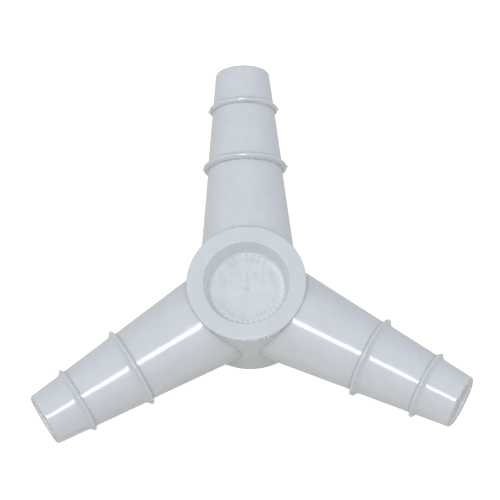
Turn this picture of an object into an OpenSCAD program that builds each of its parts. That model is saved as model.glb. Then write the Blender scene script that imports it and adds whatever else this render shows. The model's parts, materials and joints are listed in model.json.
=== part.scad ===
// Three-way hose connector: a round hub with three barbed hose tails at
// equal angles. The origin is where the three bore axes meet, the tails lie
// in the XY plane and +Z is the hub's axis, towards its marked face.
// Millimetres.

/* [Bore] */
// Diameter of the waterway through each hose tail
bore_d = 7.6; // [6:0.1:7.7]

/* [Hose tails] */
// Distance from the hub's axis to the mouth of a hose tail
tail_len = 44; // [43:0.5:44.5]
// Outside diameter at the mouth, before its edge is rounded
mouth_d = 9.9; // [9.6:0.1:10.1]
// Half angle of the tail's taper, in degrees
taper = 6; // [5:0.1:6]
// How much slimmer a tail's radius is behind its large barb
root_step = 0.12; // [0.06:0.02:0.2]
// Rounding of the mouth's outer edge
mouth_round = 0.5; // [0.2:0.05:0.5]
// Countersink at the mouth of the bore
mouth_chamfer = 0.35; // [0.1:0.05:0.4]

/* [Barbs] */
// Distance from the hub's axis to the crest of the small barb
small_barb_x = 36.7; // [36:0.1:38]
// Crest diameter of the small barb
small_barb_d = 12.8; // [12.6:0.1:13.4]
// Distance from the hub's axis to the crest of the large barb
large_barb_x = 25.2; // [24.5:0.1:27]
// Crest diameter of the large barb
large_barb_d = 15.5; // [15.3:0.1:16.5]
// Length of the hollow ramp on a barb's mouth side
barb_ramp = 0.9; // [0.7:0.1:1.6]
// Width of the round land along a barb's crest
barb_land = 0.3; // [0.2:0.05:0.6]
// Length of the steep slope on a barb's hub side
barb_back = 0.5; // [0.4:0.05:0.8]

/* [Hub] */
// Diameter of the hub at its front face
front_d = 21.9; // [21.6:0.1:22.8]
// Diameter of the hub at its back face, wider for the mould's draft
back_d = 22.7; // [22:0.1:23.2]
// Height of the hub between its two faces
hub_h = 17; // [16.5:0.5:18.5]
// Rounding of the outer edge of each face
edge_round = 0.3; // [0.1:0.05:0.4]
// Diameter of each recess at the hub's face
recess_d = 15.6; // [15:0.1:16.4]
// Diameter of each recess at its floor
recess_floor_d = 14.2; // [13.5:0.1:14.6]
// Thickness of the web between a recess and the waterway
web_t = 0.9; // [0.6:0.1:1.2]

/* [Raised marks] */
// Height of the raised marks on the recess floor
mark_h = 0.15; // [0.1:0.01:0.25]
// Width of the bars that the marks are made of
bar_w = 0.4; // [0.3:0.05:0.5]
// Length of the bars of the two arcs
arc_bar_len = 1.6; // [1.2:0.1:1.8]
// Number of bars along the upper arc
upper_bars = 7; // [5:2:9]
// Number of bars along the lower arc
lower_bars = 17; // [9:2:17]
// Length of the bars of the middle row
row_bar_len = 2.4; // [1.6:0.1:2.6]
// Number of bars in the middle row
row_bars = 7; // [3:2:7]

/* [Hidden] */
$fn = 96;
plastic = [0.8, 0.82, 0.85];

bore_r = bore_d / 2;
front_r = front_d / 2;
back_r = back_d / 2;
half_h = hub_h / 2;
floor_z = bore_r + web_t;        // height of the recess floor above the plane of the axes
tail_angles = [90, 210, 330];    // directions of the tails about the hub's axis
arc_steps = 6;
ramp_power = 1.8;                // how hollow a barb's ramp is: 1 is straight
lip_round = 0.2;                 // rounding of the recess's lip
gate_r = 0.5;                    // radius of the ball that cuts the gate dimple
gate_depth = 0.2;
junction_r = bore_r + 0.15;      // ball that clears the point where the three waterways meet
arc_inset = 0.35;                // gap between the arcs' bars and the edge of the floor
bar_split = 0.4;                 // gap in the middle of every other bar
upper_arc = [57, 123];           // first and last direction of the bars of each arc
lower_arc = [199, 341];
row_pitch = 1.45;                // spacing of the middle row's bars and their distance from the axis
row_y = 0.8;

// Radius of the plain tapered tail at distance x from the hub's axis
function cone_r(x) =
    mouth_d / 2 + (tail_len - x) * tan(taper) - (x < large_barb_x ? root_step : 0);

// Points of an arc about c, from angle a0 to a1
function arc(c, r, a0, a1) = [
    for (i = [0:arc_steps])
        let (a = a0 + (a1 - a0) * i / arc_steps) c + r * [cos(a), sin(a)]
];

// Outline of a barb from its mouth side to its hub side, as [radius, x]
function barb(x, r) = concat(
    [for (i = [0:arc_steps])
        let (t = i / arc_steps, at = x + barb_land / 2 + barb_ramp * (1 - t))
            [cone_r(at) + (r - cone_r(at)) * pow(t, ramp_power), at]],
    [
        [r, x - barb_land / 2],
        [cone_r(x - barb_land / 2 - barb_back), x - barb_land / 2 - barb_back]
    ]
);

// Half section of a hose tail from the hub's axis out, as [radius, x]
module tail_section() {
    // centre of the rounding, which touches the end face and the cone
    c = [mouth_d / 2 - mouth_round * (1 - sin(taper)) / cos(taper), tail_len - mouth_round];
    polygon(concat(
        [
            [bore_r, 0],
            [bore_r, tail_len - mouth_chamfer],
            [bore_r + mouth_chamfer, tail_len]
        ],
        arc(c, mouth_round, 90, taper),
        barb(small_barb_x, small_barb_d / 2),
        barb(large_barb_x, large_barb_d / 2),
        [[cone_r(0), 0]]
    ));
}

// Radius of the hub's wall at height z
function hub_r(z) = (front_r + back_r) / 2 - (back_r - front_r) * z / hub_h;

// Rounded edge of a face of radius r, from the wall over to the face, as [radius, z]
function face_edge(r) = arc([r - edge_round, half_h - edge_round], edge_round, 0, 90);

// Half section of the space that the hub keeps clear of the hose tails
module hub_section() polygon([
    [0, -hub_h],
    [hub_r(-hub_h), -hub_h],
    [hub_r(hub_h), hub_h],
    [0, hub_h]
]);

// Lays what is built along +Z out along direction a in the XY plane
module along(a) rotate([0, 90, a]) children();

module hose_tail(a) color(plastic) difference() {
    along(a) rotate_extrude() tail_section();
    rotate_extrude() hub_section();
}

// The middle of the hub, where the three waterways meet
module hub_core() color(plastic) difference() {
    cylinder(r1 = hub_r(-floor_z), r2 = hub_r(floor_z), h = 2 * floor_z, center = true);
    for (a = tail_angles) along(a) cylinder(r = bore_r, h = back_r + 1);
    sphere(r = junction_r);
    translate([0, 0, floor_z - gate_depth + gate_r]) sphere(r = gate_r);
}

// The wall that stands round a recess, from the core out to the face of radius face_r
module collar(core_r, face_r) color(plastic) rotate_extrude() polygon(concat(
    [[recess_floor_d / 2, floor_z], [core_r, floor_z]],
    face_edge(face_r),
    arc([recess_d / 2 + lip_round, half_h - lip_round], lip_round, 90, 180)
));

module front_collar() collar(hub_r(floor_z), front_r);

module back_collar() mirror([0, 0, 1]) collar(hub_r(-floor_z), back_r);

// A bar along X from the given start; a split one is two short bars with a gap between them
module bar(start, length, split) {
    part_len = split ? (length - bar_split) / 2 : length;
    for (x = split ? [start, start + length - part_len] : [start])
        translate([x, -bar_w / 2, floor_z]) cube([part_len, bar_w, mark_h]);
}

module bar_arc(ends, n)
    for (i = [0:n - 1]) rotate(ends[0] + (ends[1] - ends[0]) * i / (n - 1))
        bar(recess_floor_d / 2 - arc_inset - arc_bar_len, arc_bar_len, i % 2 == 1);

// Plain raised bars on the front recess's floor: two arcs and a row between them
module raised_marks() color(plastic) {
    bar_arc(upper_arc, upper_bars);
    bar_arc(lower_arc, lower_bars);
    for (i = [0:row_bars - 1]) translate([(i - (row_bars - 1) / 2) * row_pitch, 0, 0])
        rotate(90) bar(row_y, row_bar_len, i % 2 == 1);
}

hub_core();
front_collar();
back_collar();
raised_marks();
hose_tail(tail_angles[0]);  // hose_tail_1
hose_tail(tail_angles[1]);  // hose_tail_2
hose_tail(tail_angles[2]);  // hose_tail_3
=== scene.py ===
"""Looks of the three-way hose connector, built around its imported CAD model.

The real connector is one glossy moulding that lies flat on one face of its
hub. Each CAD node is replaced by a finer mesh of the same feature, in metres.
"""
import json
from math import atan2, cos, exp, pi, radians, sin, sqrt, tan

import bmesh
import bpy
from mathutils import Matrix, Vector, noise


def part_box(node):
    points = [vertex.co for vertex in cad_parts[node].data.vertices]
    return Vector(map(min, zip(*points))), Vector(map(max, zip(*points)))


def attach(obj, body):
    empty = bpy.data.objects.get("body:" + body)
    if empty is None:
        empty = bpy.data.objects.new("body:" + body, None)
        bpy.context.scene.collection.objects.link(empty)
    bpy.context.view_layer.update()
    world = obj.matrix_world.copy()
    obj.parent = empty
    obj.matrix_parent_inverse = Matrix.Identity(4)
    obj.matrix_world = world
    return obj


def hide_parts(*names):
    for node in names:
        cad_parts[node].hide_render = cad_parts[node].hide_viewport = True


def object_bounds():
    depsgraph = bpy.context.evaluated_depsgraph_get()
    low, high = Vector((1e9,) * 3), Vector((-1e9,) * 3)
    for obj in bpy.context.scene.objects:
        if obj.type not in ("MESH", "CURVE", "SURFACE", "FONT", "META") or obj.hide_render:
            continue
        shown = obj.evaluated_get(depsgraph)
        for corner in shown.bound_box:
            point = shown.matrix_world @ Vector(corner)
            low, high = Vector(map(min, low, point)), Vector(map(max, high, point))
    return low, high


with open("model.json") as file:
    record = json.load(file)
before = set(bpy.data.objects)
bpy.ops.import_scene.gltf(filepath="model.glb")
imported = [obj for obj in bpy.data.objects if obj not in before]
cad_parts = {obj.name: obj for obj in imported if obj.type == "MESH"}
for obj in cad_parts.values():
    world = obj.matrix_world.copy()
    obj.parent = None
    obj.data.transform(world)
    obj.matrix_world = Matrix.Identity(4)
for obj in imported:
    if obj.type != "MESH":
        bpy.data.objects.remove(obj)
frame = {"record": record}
cad_low, cad_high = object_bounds()
mounts = {m["name"]: m for m in frame["record"]["mounts"]}
MM = 0.001

# ---------------------------------------------------------------- sizes
HALF_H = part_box("front_collar")[1].z
FLOOR_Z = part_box("hub_core")[1].z           # height of a recess's floor
UPPER_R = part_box("front_collar")[1].x       # radius of the hub's wall at the core's upper end
LOWER_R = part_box("hub_core")[1].x           # and at its lower end
HUB_R = (UPPER_R + LOWER_R) / 2
DRAFT = (LOWER_R - UPPER_R) / (2 * FLOOR_Z)
EDGE_ROUND = 0.35 * MM          # rounding of the outer edge of each face
LIP_R = 7.8 * MM                # radius of a recess at its lip
LIP_ROUND = 0.18 * MM
RECESS_FLOOR_R = 7.1 * MM       # and at its floor
FLOOR_FILLET = 0.4 * MM
GATE_R = 0.4 * MM               # dimple left by the gate
GATE_DEPTH = 0.2 * MM

TAIL_DIRECTIONS = {             # directions of the tails about the hub's axis, in degrees
    "hose_tail_1": 90,
    "hose_tail_2": 210,
    "hose_tail_3": 330,
}
TAIL_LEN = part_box("hose_tail_1")[1].y
BORE_R = mounts["waterway_1"]["dims"]["r_mm"] * MM
JUNCTION_R = BORE_R + 0.15 * MM
MOUTH_R = 4.95 * MM
MOUTH_ROUND = 0.6 * MM          # rounding of the mouth's outer edge
MOUTH_FLARE = 0.5 * MM          # rounding where the bore opens
TAPER = radians(6)
ROOT_STEP = 0.12 * MM           # how much slimmer a tail is behind its large barb
ROOT_FILLET = 0.14 * MM         # reach of the fillet between a tail and the hub
BORE_EDGE = BORE_R + MOUTH_FLARE / 4        # nearer than this to its axis is in a tail's bore
SINK_DEPTH = 0.012 * MM         # of the faint sink marks on a tail
SINK_NOISE = 1.5                # how fine they are round it
SINK_LENGTH = 6 * MM            # and along it

BARBS = [                       # distance from the hub's axis and radius of each crest
    (mounts[barb]["pos_m"][1], mounts[barb]["dims"]["r_mm"] * MM)
    for barb in ("large_barb_1", "small_barb_1")
]
BARB_RAMP = 1.05                # length of the hollow ramp on a barb's mouth side, over its height
RAMP_POWER = 1.8                # how hollow the ramp is: 1 is straight
BARB_BACK = 0.58                # length of the slope on its hub side, over its height
BACK_POWER = 1.1                # and how hollow that slope is
BARB_LAND = 0.3 * MM            # width of its crest
CREST_PEAK = 0.35               # where the crest is highest, from -1 at its hub side to 1
CREST_SLOPES = (0.36, 0.12)     # its slopes towards the hub and towards the mouth
CREST_POINTS = (-1, -0.85, -0.7, 0.05, 0.2, 0.5, 0.65, 0.85, 1)     # of its outline, as above
CREST_RAGGED = 0.025 * MM       # unevenness of the crest
RAGGED_NOISE = 9                # and how fine that is

PARTING_BEAD = 0.012 * MM       # height and half width of the mould's parting line
PARTING_HALF = 0.10 * MM
CREST_FLASH = 0.26 * MM         # flash at the parting line on a barb's crest
SEAM_RAMP = 1.35                # length of a barb's ramp at the parting line, over its height
SEAM_REACH = radians(22)        # how far round the tail that longer ramp reaches
EDGE_FLASH = 0.26 * MM          # flash left on the front edge between the lower tails
FLASH_T = 0.07 * MM             # its thickness
FLASH_REACH = radians(50)       # how far it reaches each way from midway between them
FLASH_NOISE = 40                # how fine its bits are
FLASH_SEED = 3.1
FLASH_SHARE = 0.15              # added to the noise, so that more of the edge has bits

MARK_H = 0.15 * MM
MARK_SINK = 0.02 * MM           # how far a raised mark's foot goes into the floor
BAR_WIDTH = 0.4 * MM            # of the bars that the marks are
BAR_SPLIT = 0.4 * MM            # gap in the middle of every other bar
BAR_LEVELS = (                  # inset of a bar's side, over half its width, and height there
    (0, -MARK_SINK), (0, 0), (0.3, MARK_H * 0.5), (0.6, MARK_H * 0.85), (0.85, MARK_H),
)
ARC_BAR = (5.15 * MM, 1.6 * MM)             # distance from the axis and length of an arc's bar
BAR_ARCS = ((57, 123, 7), (199, 341, 17))   # first and last direction, and number of bars
ROW_BAR = (0.8 * MM, 2.4 * MM)
ROW_BARS = 7
ROW_PITCH = 1.45 * MM

TURNS = 240                     # segments round a tail
HUB_TURNS = 360                 # and round the hub
NEAR = 0.02 * MM                # points this near to a height count as at it
FLOOR_GAP = 0.02 * MM           # between the studio's floor and the connector
FLOOR_HALF = 1.5                # half the width of that floor

# ---------------------------------------------------------------- colours, linear
BLUE_WHITE = ((0.58, 0.61, 0.655), (0.62, 0.65, 0.695))     # darker and lighter tone
RECESS_GLOW_TONES = ((0.625, 0.66, 0.69), (0.675, 0.71, 0.74))      # paler recess tones, a painted glow standing in for light that comes through the web
MARK_HIGHLIGHT_TONES = ((0.74, 0.78, 0.81), (0.78, 0.82, 0.85))           # raised marks, painted bright as a painted highlight
PAINTED_GLOW_TONE = (0.8, 0.845, 0.87)                                   # painted glow, where most light comes through
# dark olive of the painted shade in creases, along the lip and under the front edge
PAINTED_SHADE_TONE = (0.24, 0.25, 0.2)

# ---------------------------------------------------------------- painted shade: amounts and widths
PAINTED_SHADE_SHARE = {"hose_tail_1": 0.9, "hose_tail_2": 0.5, "hose_tail_3": 0.5}
SHADE_LINE_WIDTH = 0.13 * MM         # width of the line at a barb's foot and at a root
MOUTH_SHADE = 1.5               # the line round the mouth, over those lines
MOUTH_LINE = 0.26 * MM
LIP_SHADE = 0.7                 # the line along the front recess's lip
LIP_LINE = 0.14 * MM
UNDER_EDGE_SHADE = 1.1                # under the hub's front edge
UNDER_EDGE = 0.6 * MM           # how far down that reaches
EDGE_REACH = radians(55)        # and how far each way from midway between the lower tails
ROOT_TURN = radians(30)         # where it meets the tails' roots and is darkest
ROOT_REACH = radians(14)        # and how far that reaches
ROOT_DEPTH = (0.8, 0.9)         # reach over UNDER_EDGE: away from the roots, and added at them
ROOT_DARK = (0.8, 0.5)          # and in the same way the amount, over that of the painted shade under the edge

# ---------------------------------------------------------------- painted glow: amounts and widths
CORNER_GLOW_SHARE = (0.5, 0.3)        # round the foot of a recess's wall, and how much more at its right
GLOW_R = 6.55 * MM              # radius and half width of that ring
CORNER_GLOW = 0.55 * MM
WALL_GLOW_SHARE = 0.4                 # at the left of a recess's wall
BORE_GLOW = 8 * MM              # how far in from a mouth

# ---------------------------------------------------------------- camera
CAMERA_TILT = radians(18.26)    # away from straight down
CAMERA_YAW = radians(2.74)
CAMERA_ROLL = radians(-1.65)
CAMERA_DISTANCE = 0.695
CAMERA_LENS = 272.2
CAMERA_AIM = (0.00022, 0.00865)     # right of and above the hub's middle, as the camera sees it


# ---------------------------------------------------------------- mesh helpers
def link(name, mesh):
    made = bpy.data.objects.new(name, mesh)
    bpy.context.scene.collection.objects.link(made)
    return made


def ring_mesh(name, rings, loops_back=True):
    """A mesh of closed rings of points, joined in order, and the last to the first if loops_back."""
    count = len(rings[0])
    verts = [p for ring in rings for p in ring]
    faces = []
    for i in range(len(rings) if loops_back else len(rings) - 1):
        low = i * count
        high = (i + 1) % len(rings) * count
        for j in range(count):
            k = (j + 1) % count
            faces.append((low + j, low + k, high + k, high + j))
    mesh = bpy.data.meshes.new(name)
    mesh.from_pydata(verts, [], faces)
    return link(name, mesh)


def finish_mesh(piece, sharp=40):
    """Points the faces outwards and shades them smoothly, apart from edges sharper than the angle."""
    bm = bmesh.new()
    bm.from_mesh(piece.data)
    bmesh.ops.remove_doubles(bm, verts=bm.verts, dist=1e-7)
    bmesh.ops.recalc_face_normals(bm, faces=bm.faces)
    bm.to_mesh(piece.data)
    bm.free()
    piece.data.shade_smooth()
    piece.data.set_sharp_from_angle(angle=radians(sharp))


def lathe_rings(profile, turns):
    """Rings of points about the hub's axis, from a profile of (radius, z)."""
    step = 2 * pi / turns
    return [
        [Vector((r * cos(j * step), r * sin(j * step), z)) for j in range(turns)]
        for r, z in profile
    ]


def arc(centre, radius, start, end, steps):
    """Points of an arc in a plane; start and end are in degrees."""
    found = []
    for i in range(steps + 1):
        a = radians(start + (end - start) * i / steps)
        found.append((centre[0] + radius * cos(a), centre[1] + radius * sin(a)))
    return found


def between(a, b, steps):
    """Numbers from a to b, without b."""
    return [a + (b - a) * i / steps for i in range(steps)]


def from_axis(p):
    """Distance of a point from the hub's axis."""
    return Vector((p.x, p.y)).length


def at_recess_height(p):
    """True from the height of a recess's floor up to just under the hub's face."""
    return FLOOR_Z - NEAR < abs(p.z) < HALF_H - NEAR


def hub_r(z):
    """Radius of the hub's wall, which the mould's draft widens towards the back face."""
    return HUB_R - DRAFT * z


# ---------------------------------------------------------------- hose tails
def cone_r(x):
    """Radius of a tail's cone; the stretch behind the large barb is a little slimmer."""
    step = ROOT_STEP if x < BARBS[0][0] else 0
    return MOUTH_R - step + (TAIL_LEN - x) * tan(TAPER)


def turns_round_tail():
    """Angles round a tail from the mould's parting plane, closer together at the plane."""
    step = 2 * pi / TURNS
    found = [j * step for j in range(TURNS)]
    for seam in (0, pi):
        for part in (0.2, 0.45, 0.7):
            found += [seam - part * step, seam + part * step]
    return sorted(a % (2 * pi) for a in found)


def barb_foot(x, r):
    """Where the hub side of a barb meets the tail's cone."""
    return x - BARB_LAND / 2 - BARB_BACK * (r - cone_r(x))


def crest_drop(t):
    """How much lower a barb's crest is at t, from -1 at its hub side to 1 at its mouth side."""
    slope = CREST_SLOPES[0] if t < CREST_PEAK else CREST_SLOPES[1]
    return slope * abs(t - CREST_PEAK) * BARB_LAND / 2


def barb_profile(x, r):
    """Outline of a barb from its hub side to its mouth side, as (x, radius, share of the crest)."""
    front = x + BARB_LAND / 2
    foot = barb_foot(x, r)
    back = x - BARB_LAND / 2 - foot
    ramp = BARB_RAMP * (r - cone_r(x))
    low = r - crest_drop(-1)
    high = r - crest_drop(1)
    found = [(foot - SHADE_LINE_WIDTH * t, cone_r(foot - SHADE_LINE_WIDTH * t), 0) for t in (3, 2, 1)]
    for t in between(0, 1, 8):
        found.append((foot + back * t, cone_r(foot) + (low - cone_r(foot)) * t**BACK_POWER, t * t))
    for t in CREST_POINTS:
        found.append((x + BARB_LAND / 2 * t, r - crest_drop(t), 1))
    for t in between(1, 0, 14)[1:]:
        at = front + ramp * (1 - t)
        found.append((at, cone_r(at) + (high - cone_r(at)) * t**RAMP_POWER, t**6))
    return found


def mouth_profile():
    """Outline over the mouth's edge and into the bore, as (x, radius, 0)."""
    x = TAIL_LEN - MOUTH_ROUND
    r = MOUTH_R - MOUTH_ROUND * (1 - sin(TAPER)) / cos(TAPER)
    found = []
    for i in range(11):
        a = TAPER + (pi / 2 - TAPER) * i / 10
        found.append((x + MOUTH_ROUND * sin(a), r + MOUTH_ROUND * cos(a), 0))
    for i in range(9):
        a = pi / 2 * i / 8
        found.append((
            TAIL_LEN - MOUTH_FLARE * (1 - cos(a)),
            BORE_R + MOUTH_FLARE * (1 - sin(a)),
            0,
        ))
    return found


def tail_profile():
    """Outline that all sections of a tail share, from the large barb's foot into the bore."""
    (large_x, large_r), (small_x, small_r) = BARBS
    large = barb_profile(large_x, large_r)
    small = barb_profile(small_x, small_r)
    mouth = mouth_profile()
    middle = [(x, cone_r(x), 0) for x in between(large[-1][0], small[0][0], 26)[1:]]
    end = [(x, cone_r(x), 0) for x in between(small[-1][0], mouth[0][0], 18)[1:]]
    return large + middle + small + end + mouth


def seam_lift(x):
    """How much higher a barb's ramp, which is longer at the parting line, stands there."""
    for crest_x, r in BARBS:
        height = r - cone_r(crest_x)
        along = (x - crest_x - BARB_LAND / 2) / height
        if 0 < along < SEAM_RAMP:
            usual = max(1 - along / BARB_RAMP, 0)
            return height * ((1 - along / SEAM_RAMP) ** RAMP_POWER - usual**RAMP_POWER)
    return 0.0


def tail_radius(seed, x, r, phi, crest):
    """Radius with the parting line, the crest's flash and ragged edge, and faint sink marks."""
    from_seam = min(phi % pi, pi - phi % pi)
    r += seam_lift(x) * exp(-((from_seam / SEAM_REACH) ** 2))
    to_seam = from_seam * r / PARTING_HALF
    bead = (PARTING_BEAD + (CREST_FLASH - PARTING_BEAD) * crest) * exp(-to_seam * to_seam)
    around = Vector((cos(phi), sin(phi)))
    rough = noise.noise(Vector((*(around * RAGGED_NOISE), seed * 5 + x / MM)))
    sunk = noise.noise(Vector((*(around * SINK_NOISE), seed * 9 + x / SINK_LENGTH)))
    return r + bead + CREST_RAGGED * crest * rough + SINK_DEPTH * sunk


def seam_x(phi, radius_at):
    """How far out a tail's surface, or its bore's, meets the hub's wall."""
    x = HUB_R
    for _ in range(14):         # each turn brings x closer
        r = radius_at(x)
        x = sqrt(hub_r(r * sin(phi)) ** 2 - (r * cos(phi)) ** 2)
    return x


def build_tail(node, degrees, seed):
    """A hose tail, from the fillet at its root out to the mouth and back along the bore."""
    out = Vector((cos(radians(degrees)), sin(radians(degrees)), 0))
    side = Vector((-out.y, out.x, 0))
    up = Vector((0, 0, 1))
    angles = turns_round_tail()

    def point(x, r, phi, crest=0.0):
        r = tail_radius(seed, x, r, phi, crest)
        return out * x + side * (r * cos(phi)) + up * (r * sin(phi))

    seams = [seam_x(phi, cone_r) for phi in angles]
    feet = root_feet(angles, seams, radians(degrees))
    profile = tail_profile()
    start_x = profile[0][0]
    fillet = []
    for step in between(0, 1, 6):
        ring = []
        for phi, x, foot in zip(angles, seams, feet):
            tail_side = point(x + ROOT_FILLET, cone_r(x + ROOT_FILLET), phi)
            corner = point(x, cone_r(x), phi)
            ring.append(foot.lerp(corner, step).lerp(corner.lerp(tail_side, step), step))
        fillet.append(ring)
    root = []
    for step in between(0, 1, 18):
        ring = []
        for phi, x in zip(angles, seams):
            at = x + ROOT_FILLET + (start_x - x - ROOT_FILLET) * step
            ring.append(point(at, cone_r(at), phi))
        root.append(ring)
    shared = [[point(x, r, phi, crest) for phi in angles] for x, r, crest in profile[:-1]]
    bore = []
    bore_start = TAIL_LEN - MOUTH_FLARE
    bore_ends = [seam_x(phi, lambda x: BORE_R) for phi in angles]
    for i in range(13):
        ring = []
        for phi, end in zip(angles, bore_ends):
            at = bore_start + (end - bore_start) * i / 12
            ring.append(out * at + side * (BORE_R * cos(phi)) + up * (BORE_R * sin(phi)))
        bore.append(ring)
    piece = ring_mesh(f"{node}_moulding", fillet + root + shared + bore)
    finish_mesh(piece)
    # painted shade along the barbs' feet, the root and the mouth; painted glow inside the bore
    add_amount(piece, "painted_shade", lambda spot: PAINTED_SHADE_SHARE[node] * tail_painted_shade(spot, spot.dot(out)))
    add_amount(piece, "pale", lambda spot: bore_glow(spot, spot.dot(out)))
    return piece


def root_feet(angles, seams, turn):
    """Where the root's fillet ends on the hub's wall, one point for each angle round the tail."""
    flat = []
    for phi, x in zip(angles, seams):
        r = cone_r(x)
        flat.append(Vector((atan2(r * cos(phi), x) * HUB_R, r * sin(phi))))
    found = []
    top_z = HALF_H - EDGE_ROUND
    for j, here in enumerate(flat):
        along = flat[(j + 1) % len(flat)] - flat[j - 1]
        away = Vector((along.y, -along.x)).normalized()
        if away.dot(here) < 0:
            away.negate()
        foot = here + away * ROOT_FILLET
        at = turn + foot.x / HUB_R
        z = max(-top_z, min(top_z, foot.y))
        found.append(Vector((hub_r(z) * cos(at), hub_r(z) * sin(at), z)))
    return found


def in_bore(spot, x):
    """True for a point of a tail, x out from the hub's axis, that is in its bore."""
    return sqrt(spot.length_squared - x * x) <= BORE_EDGE


def tail_painted_shade(spot, x):
    """Painted shade on a tail: dark lines along the foot of each barb's hub side, at the root and at
    the mouth.
    """
    behind = min(abs(x - barb_foot(crest_x, r)) for crest_x, r in BARBS)
    at_root = abs(from_axis(spot) - hub_r(spot.z))
    lines = exp(-((behind / SHADE_LINE_WIDTH) ** 2)) + exp(-((at_root / SHADE_LINE_WIDTH) ** 2))
    if not in_bore(spot, x):
        lines += MOUTH_SHADE * exp(-(((TAIL_LEN - x) / MOUTH_LINE) ** 2))
    return min(lines, 1)


def bore_glow(spot, x):
    """Painted glow inside a tail's mouth, standing in for light that comes through the wall."""
    if not in_bore(spot, x):
        return 0.0
    return exp(-(((TAIL_LEN - x) / BORE_GLOW) ** 2))


def collar_painted_shade(spot):
    """Painted shade on the front collar: a line along its lip, and shade under its edge between the
    lower tails.
    """
    r = from_axis(spot)
    if r < LIP_R + EDGE_ROUND:
        from_lip = Vector((r - LIP_R, spot.z - HALF_H + LIP_ROUND)).length / LIP_LINE
        shade_fade = max(spot.y / LIP_R, 0) ** 2         # the painted shade at the lip fades out at its top
        return LIP_SHADE * (1 - shade_fade) * exp(-from_lip * from_lip)
    turn = abs(atan2(spot.y, spot.x) + pi / 2)      # from midway between the lower tails
    corner = exp(-(((turn - ROOT_TURN) / ROOT_REACH) ** 2))
    reach = UNDER_EDGE * (ROOT_DEPTH[0] + ROOT_DEPTH[1] * corner)
    under = (HALF_H - EDGE_ROUND - spot.z) / reach
    if under < 0:
        return 0.0
    between_tails = exp(-((turn / EDGE_REACH) ** 4))
    dark = ROOT_DARK[0] + ROOT_DARK[1] * corner
    return UNDER_EDGE_SHADE * between_tails * dark * max(1 - under, 0)


def corner_glow(spot):
    """Painted glow in a recess: round the foot of its wall and on the wall's left."""
    r = from_axis(spot)
    if not at_recess_height(spot) or r > LIP_R + LIP_ROUND:
        return 0.0
    across = (r - GLOW_R) / CORNER_GLOW
    wall = min((abs(spot.z) - FLOOR_Z) / FLOOR_FILLET, 1)
    corner = (CORNER_GLOW_SHARE[0] + CORNER_GLOW_SHARE[1] * spot.x / GLOW_R) * exp(-across * across)
    return corner + WALL_GLOW_SHARE * max(-spot.x / LIP_R, 0) * max(wall, 0)


def add_amount(piece, name, amount_at):
    """Stores how much painted shade and painted glow each point of a piece has, for its material."""
    found = piece.data.attributes.new(name, "FLOAT", "POINT")
    for stored, v in zip(found.data, piece.data.vertices):
        stored.value = amount_at(v.co)


# ---------------------------------------------------------------- hub
def bore_cutter(degrees):
    """A tool that drills one waterway into the hub core."""
    out = Vector((cos(radians(degrees)), sin(radians(degrees)), 0))
    side = Vector((-out.y, out.x, 0))
    rings = []
    for x in (0, HUB_R * 1.2):      # past the hub's wall
        rings.append([
            out * x + side * (BORE_R * cos(phi)) + Vector((0, 0, BORE_R * sin(phi)))
            for phi in turns_round_tail()
        ])
    cutter = ring_mesh(f"bore_cutter_{degrees}", rings, loops_back=False)
    cap_ends(cutter)
    return cutter


def junction_cutter():
    """A ball that clears the point where the waterways meet."""
    mesh = bpy.data.meshes.new("junction_cutter")
    bm = bmesh.new()
    bmesh.ops.create_icosphere(bm, subdivisions=5, radius=JUNCTION_R)
    bm.to_mesh(mesh)
    bm.free()
    return link("junction_cutter", mesh)


def cap_ends(piece):
    """Closes the open ends of a tube of rings."""
    bm = bmesh.new()
    bm.from_mesh(piece.data)
    bmesh.ops.holes_fill(bm, edges=[e for e in bm.edges if e.is_boundary])
    bmesh.ops.recalc_face_normals(bm, faces=bm.faces)
    bm.to_mesh(piece.data)
    bm.free()


def subtract(piece, cutter):
    cut = piece.modifiers.new("cut", "BOOLEAN")
    cut.operation = "DIFFERENCE"
    cut.solver = "EXACT"
    cut.object = cutter
    bpy.context.view_layer.objects.active = piece
    bpy.ops.object.modifier_apply(modifier=cut.name)
    bpy.data.objects.remove(cutter)


def build_core():
    """The middle of the hub: its wall with the parting line, and the two recess floors."""
    gate = [(GATE_R * t, FLOOR_Z - GATE_DEPTH * (1 - t**3)) for t in between(0, 1, 6)]
    floor = [(r, FLOOR_Z) for r in between(GATE_R, UPPER_R, 50)]
    wall = [(hub_r(z), z) for z in between(FLOOR_Z, 2 * PARTING_HALF, 10)]
    for i in range(-8, 9):
        z = -i / 4 * PARTING_HALF
        wall.append((hub_r(z) + PARTING_BEAD * exp(-((z / PARTING_HALF) ** 2)), z))
    wall += [(hub_r(z), z) for z in between(-2 * PARTING_HALF, -FLOOR_Z, 10)[1:]]
    under = [(r, -FLOOR_Z) for r in between(LOWER_R, 0, 12)] + [(0, -FLOOR_Z)]
    piece = ring_mesh("hub_core_moulding", lathe_rings(gate + floor + wall + under, HUB_TURNS), False)
    finish_mesh(piece)
    subtract(piece, junction_cutter())
    for degrees in TAIL_DIRECTIONS.values():
        subtract(piece, bore_cutter(degrees))
    finish_mesh(piece)
    # painted glow round the foot of the recesses
    add_amount(piece, "pale", corner_glow)
    return piece


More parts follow.
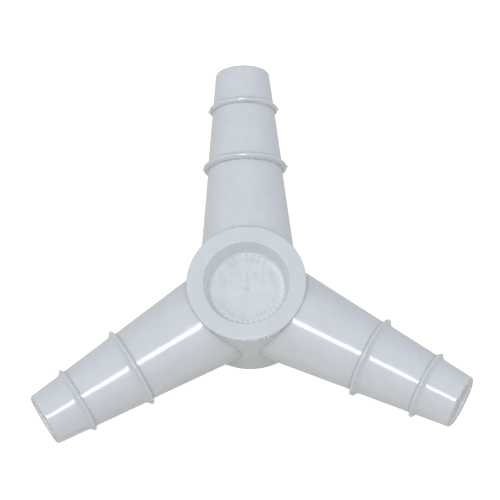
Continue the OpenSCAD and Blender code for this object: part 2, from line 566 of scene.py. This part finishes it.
def collar_profile(side):
    """Section of a collar as (radius, z): up its wall, over its edge and down into the recess."""
    slope = atan2(HALF_H - FLOOR_Z, LIP_R - RECESS_FLOOR_R)
    lean = 90 - slope * 180 / pi
    face_r = hub_r(side * HALF_H)
    wall_top = HALF_H - EDGE_ROUND - FLASH_T
    outside = [(hub_r(side * z), z) for z in between(FLOOR_Z, wall_top, 24) + [wall_top]]
    edge = arc((face_r - EDGE_ROUND, HALF_H - EDGE_ROUND), EDGE_ROUND, 0, 90, 10)
    face = [(r, HALF_H) for r in between(face_r - EDGE_ROUND, LIP_R + LIP_ROUND, 6)[1:]]
    lip = arc((LIP_R + LIP_ROUND, HALF_H - LIP_ROUND), LIP_ROUND, 90, 180 - lean, 7)
    foot_z = FLOOR_Z + FLOOR_FILLET
    foot_r = RECESS_FLOOR_R + FLOOR_FILLET / tan(slope)
    wall = [
        (lip[-1][0] + (foot_r - lip[-1][0]) * t, lip[-1][1] + (foot_z - lip[-1][1]) * t)
        for t in between(0, 1, 24)[1:]
    ]
    fillet = arc((foot_r - FLOOR_FILLET, foot_z), FLOOR_FILLET, 0, -90, 8)
    return outside + edge + face + lip + wall + fillet


def edge_flash(rings):
    """Leaves ragged bits of flash on the front edge, where it stands free between the lower tails."""
    edge_z = HALF_H - EDGE_ROUND
    for ring in rings:
        if abs(ring[0].z - edge_z) > NEAR or from_axis(ring[0]) < LIP_R + EDGE_ROUND:
            continue
        for j, p in enumerate(ring):
            turn = atan2(p.y, p.x)
            between_tails = exp(-(((turn + pi / 2) / FLASH_REACH) ** 4))
            where = Vector((cos(turn) * FLASH_NOISE, sin(turn) * FLASH_NOISE, FLASH_SEED))
            ragged = noise.noise(where) + FLASH_SHARE
            grow = EDGE_FLASH * between_tails * max(ragged, 0) * 2
            ring[j] = p + Vector((p.x, p.y, 0)).normalized() * grow


def build_collar(node, side):
    """The wall and rim round a recess; side is 1 on the marked face and -1 on the other."""
    rings = lathe_rings(collar_profile(side), HUB_TURNS)
    if side > 0:
        edge_flash(rings)
    piece = ring_mesh(f"{node}_moulding", rings)
    piece.data.transform(Matrix.Scale(side, 4, (0, 0, 1)))
    finish_mesh(piece)
    # painted shade on the front collar; painted glow round each recess's foot
    if side > 0:
        add_amount(piece, "painted_shade", collar_painted_shade)
    add_amount(piece, "pale", corner_glow)
    return piece


def in_recess(centre):
    """True for the centre of a face on a recess's wall or floor."""
    return from_axis(centre) < LIP_R and at_recess_height(centre)


# ---------------------------------------------------------------- raised marks
def add_bar(bm, start, length, place):
    """A low bar with round ends and sloping sides, along X from its start, then moved to its place."""
    rings = []
    for inset, z in BAR_LEVELS:
        radius = BAR_WIDTH / 2 * (1 - inset)
        outline = arc((start + length - BAR_WIDTH / 2, 0), radius, -90, 90, 8)
        outline += arc((start + BAR_WIDTH / 2, 0), radius, 90, 270, 8)
        rings.append([bm.verts.new(place @ Vector((x, y, FLOOR_Z + z))) for x, y in outline])
    count = len(rings[0])
    for low, high in zip(rings, rings[1:]):
        for j in range(count):
            k = (j + 1) % count
            bm.faces.new((low[j], low[k], high[k], high[j]))
    bm.faces.new(rings[-1])
    bm.faces.new(rings[0][::-1])


def add_mark(bm, size, split, place):
    """One bar, or two short ones with a gap between them."""
    start, length = size
    if split:
        half = (length - BAR_SPLIT) / 2
        add_bar(bm, start, half, place)
        add_bar(bm, start + length - half, half, place)
    else:
        add_bar(bm, start, length, place)


def build_marks():
    """Two arcs of bars and a row of them, every other one split."""
    bm = bmesh.new()
    for first, last, count in BAR_ARCS:
        for i in range(count):
            turn = radians(first + (last - first) * i / (count - 1))
            add_mark(bm, ARC_BAR, i % 2, Matrix.Rotation(turn, 4, "Z"))
    for i in range(ROW_BARS):
        across = (i - (ROW_BARS - 1) / 2) * ROW_PITCH
        place = Matrix.Translation((across, 0, 0)) @ Matrix.Rotation(pi / 2, 4, "Z")
        add_mark(bm, ROW_BAR, i % 2, place)
    mesh = bpy.data.meshes.new("raised_marks_moulding")
    bm.to_mesh(mesh)
    bm.free()
    piece = link("raised_marks_moulding", mesh)
    finish_mesh(piece, sharp=60)
    return piece


# ---------------------------------------------------------------- materials
def node_at(tree, kind, **values):
    made = tree.nodes.new(kind)
    for name, value in values.items():
        made.inputs[name.replace("_", " ")].default_value = value
    return made


def noise_at(tree, where, scale, detail, stretch=(1, 1, 1)):
    """A noise on the object's own coordinates; its scale is in features to the metre."""
    mapping = tree.nodes.new("ShaderNodeMapping")
    mapping.inputs["Scale"].default_value = stretch
    tree.links.new(where.outputs["Object"], mapping.inputs["Vector"])
    made = node_at(tree, "ShaderNodeTexNoise", Scale=scale, Detail=detail, Roughness=0.55)
    tree.links.new(mapping.outputs["Vector"], made.inputs["Vector"])
    return made.outputs["Fac"]


def spread(tree, value, low, high, to_low, to_high):
    """Maps a value's range onto another."""
    made = tree.nodes.new("ShaderNodeMapRange")
    tree.links.new(value, made.inputs["Value"])
    for name, number in zip(("From Min", "From Max", "To Min", "To Max"), (low, high, to_low, to_high)):
        made.inputs[name].default_value = number
    return made.outputs["Result"]


def combine(tree, operation, a, b):
    made = tree.nodes.new("ShaderNodeMath")
    made.operation = operation
    for socket, value in zip(made.inputs, (a, b)):
        if isinstance(value, float):
            socket.default_value = value
        else:
            tree.links.new(value, socket)
    return made.outputs[0]


def mix_colour(tree, factor, a, b):
    made = tree.nodes.new("ShaderNodeMix")
    made.data_type = "RGBA"
    tree.links.new(factor, made.inputs[0])
    for socket, value in zip((made.inputs[6], made.inputs[7]), (a, b)):
        if isinstance(value, tuple):
            socket.default_value = (*value, 1)
        else:
            tree.links.new(value, socket)
    return made.outputs[2]


def bump(tree, height, distance, strength, under=None):
    made = node_at(tree, "ShaderNodeBump", Distance=distance, Strength=strength)
    tree.links.new(height, made.inputs["Height"])
    if under is not None:
        tree.links.new(under, made.inputs["Normal"])
    return made.outputs["Normal"]


def plastic(name, tones, gloss, grain):
    """Moulded plastic: clouded colour, smudged gloss, a faintly wavy skin and a fine grain, with
    painted shade and painted glow mixed into its colour.
    """
    material = bpy.data.materials.new(name)
    material.use_nodes = True
    tree = material.node_tree
    shader = tree.nodes["Principled BSDF"]
    shader.inputs["IOR"].default_value = 1.5
    shader.inputs["Subsurface Weight"].default_value = 0.15
    shader.inputs["Subsurface Radius"].default_value = (1, 1, 1)
    shader.inputs["Subsurface Scale"].default_value = 1.5 * MM
    where = tree.nodes.new("ShaderNodeTexCoord")
    clouds = noise_at(tree, where, 160, 3)
    mottle = noise_at(tree, where, 600, 3)
    smudge = noise_at(tree, where, 160, 4, stretch=(1, 1.6, 1))
    scuffs = noise_at(tree, where, 250, 2, stretch=(1, 14, 3))
    # painted shade and painted glow come from two point attributes
    painted_shade = tree.nodes.new("ShaderNodeAttribute")
    painted_shade.attribute_name = "painted_shade"
    pale = tree.nodes.new("ShaderNodeAttribute")
    pale.attribute_name = "pale"
    tone = spread(tree, combine(tree, "ADD", clouds, mottle), 0.7, 1.3, 0.0, 1.0)
    colour = mix_colour(tree, tone, tones[0], tones[1])
    specks = spread(tree, noise_at(tree, where, 1500, 2), 0.38, 0.66, 0.25, 0.8)
    shade_amount = combine(tree, "MULTIPLY", painted_shade.outputs["Fac"], specks)
    colour = mix_colour(tree, pale.outputs["Fac"], colour, PAINTED_GLOW_TONE)
    colour = mix_colour(tree, shade_amount, colour, PAINTED_SHADE_TONE)
    tree.links.new(colour, shader.inputs["Base Color"])
    smudged = spread(tree, smudge, 0.35, 0.7, gloss[0], gloss[1])
    worn = combine(tree, "ADD", smudged, spread(tree, scuffs, 0.62, 0.75, 0.0, 0.08))
    tree.links.new(worn, shader.inputs["Roughness"])
    wavy = bump(tree, noise_at(tree, where, 450, 1), 0.02 * MM, 0.35)
    fine = bump(tree, noise_at(tree, where, 7000, 2), 0.004 * MM, grain, wavy)
    tree.links.new(fine, shader.inputs["Normal"])
    return material


def floor_material():
    """Pale where the camera sees it; to the connector it is a warm grey table."""
    material = bpy.data.materials.new("pale_floor")
    material.use_nodes = True
    tree = material.node_tree
    table = tree.nodes["Principled BSDF"]
    table.inputs["Base Color"].default_value = (0.72, 0.7, 0.64, 1)
    table.inputs["Roughness"].default_value = 0.9
    table.inputs["Specular IOR Level"].default_value = 0.1
    paper = node_at(tree, "ShaderNodeBsdfDiffuse", Color=(0.5, 0.5, 0.5, 1))
    glow = node_at(tree, "ShaderNodeEmission", Strength=0.75)
    pale = tree.nodes.new("ShaderNodeAddShader")
    tree.links.new(paper.outputs[0], pale.inputs[0])
    tree.links.new(glow.outputs[0], pale.inputs[1])
    seen = tree.nodes.new("ShaderNodeLightPath")
    either = tree.nodes.new("ShaderNodeMixShader")
    tree.links.new(seen.outputs["Is Camera Ray"], either.inputs[0])
    tree.links.new(table.outputs[0], either.inputs[1])
    tree.links.new(pale.outputs[0], either.inputs[2])
    tree.links.new(either.outputs[0], tree.nodes["Material Output"].inputs["Surface"])
    return material


# ---------------------------------------------------------------- scene
def place_camera():
    """Looks down at the hub from the lower tails' side, with a small yaw and roll."""
    back = Vector((
        sin(CAMERA_YAW) * cos(CAMERA_TILT),
        -sin(CAMERA_TILT),
        cos(CAMERA_TILT) * cos(CAMERA_YAW),
    )).normalized()
    level = Vector((0, 1, 0)).cross(back).normalized()
    upright = back.cross(level)
    right = level * cos(CAMERA_ROLL) + upright * sin(CAMERA_ROLL)
    up = upright * cos(CAMERA_ROLL) - level * sin(CAMERA_ROLL)
    spot = back * CAMERA_DISTANCE
    aim = right * CAMERA_AIM[0] + up * CAMERA_AIM[1]
    away = (spot - aim).normalized()
    right = up.cross(away).normalized()
    up = away.cross(right)
    data = bpy.data.cameras.new("camera")
    data.lens = CAMERA_LENS
    data.sensor_width = 36
    camera = bpy.data.objects.new("camera", data)
    bpy.context.scene.collection.objects.link(camera)
    camera.matrix_world = Matrix.Translation(spot) @ Matrix((right, up, away)).transposed().to_4x4()
    bpy.context.scene.camera = camera


def add_light(name, direction, distance, size, power):
    """A soft white light that faces the hub; size is its width along X and its depth."""
    data = bpy.data.lights.new(name, "AREA")
    data.shape = "RECTANGLE"
    data.size, data.size_y = size
    data.energy = power
    light = bpy.data.objects.new(name, data)
    bpy.context.scene.collection.objects.link(light)
    light.location = Vector(direction).normalized() * distance
    light.rotation_euler = Vector(direction).to_track_quat("Z", "Y").to_euler()


def place_lights():
    """A bright strip overhead, a large soft fill from the left, and a pale studio round them."""
    add_light("key", (-0.04, -0.3, 0.95), 1.0, (0.36, 0.13), 3.1)
    add_light("left_fill", (-0.9, 0.2, 0.55), 1.0, (0.9, 0.9), 0.5)
    world = bpy.data.worlds.new("studio")
    bpy.context.scene.world = world
    world.use_nodes = True
    tree = world.node_tree
    backdrop = tree.nodes["Background"]
    where = tree.nodes.new("ShaderNodeTexCoord")
    parts = tree.nodes.new("ShaderNodeSeparateXYZ")
    tree.links.new(where.outputs["Generated"], parts.inputs[0])
    behind = spread(tree, parts.outputs["Y"], -0.7, 0.5, 0.0, 1.0)
    round_us = mix_colour(tree, behind, (0.35, 0.33, 0.27), (0.5, 0.52, 0.56))
    sideways = combine(tree, "ABSOLUTE", parts.outputs["X"], 0.0)
    beside = spread(tree, sideways, 0.55, 1.0, 0.0, 1.0)
    to_right = spread(tree, parts.outputs["X"], -0.5, 0.5, 0.0, 1.0)
    at_sides = mix_colour(tree, to_right, (0.63, 0.66, 0.7), (0.68, 0.74, 0.84))
    round_us = mix_colour(tree, beside, round_us, at_sides)
    above = spread(tree, parts.outputs["Z"], 0.1, 0.9, 0.0, 1.0)
    tree.links.new(mix_colour(tree, above, round_us, (0.8, 0.81, 0.83)), backdrop.inputs["Color"])
    bpy.context.scene.view_settings.view_transform = "Standard"


def place_floor():
    z = cad_low.z - FLOOR_GAP
    half = FLOOR_HALF
    corners = [(-half, -half, z), (half, -half, z), (half, half, z), (-half, half, z)]
    mesh = bpy.data.meshes.new("floor")
    mesh.from_pydata(corners, [], [(0, 1, 2, 3)])
    mesh.materials.append(floor_material())
    link("floor", mesh)


def main():
    polished = plastic("polished_plastic", BLUE_WHITE, (0.12, 0.2), 0.1)
    fine_matt = plastic("fine_matt_plastic", BLUE_WHITE, (0.3, 0.4), 0.3)
    recess_glow = plastic("recess_glow_plastic", RECESS_GLOW_TONES, (0.15, 0.22), 0.15)
    # the raised marks' brighter tones are a painted highlight
    mark_highlight = plastic("mark_highlight_plastic", MARK_HIGHLIGHT_TONES, (0.2, 0.3), 0.15)
    pieces = {
        "hub_core": (build_core(), fine_matt),
        "front_collar": (build_collar("front_collar", 1), fine_matt),
        "back_collar": (build_collar("back_collar", -1), fine_matt),
        "raised_marks": (build_marks(), mark_highlight),
    }
    for seed, (node, degrees) in enumerate(TAIL_DIRECTIONS.items()):
        pieces[node] = (build_tail(node, degrees, seed), polished)
    for node, (piece, material) in pieces.items():
        piece.data.materials.append(material)
        # faces in a recess take the paler recess tones, a painted glow
        if material is not mark_highlight:
            piece.data.materials.append(recess_glow)
            for face in piece.data.polygons:
                face.material_index = 1 if in_recess(face.center) else 0
        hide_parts(node)
        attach(piece, "root")
    place_floor()
    place_lights()
    place_camera()


main()
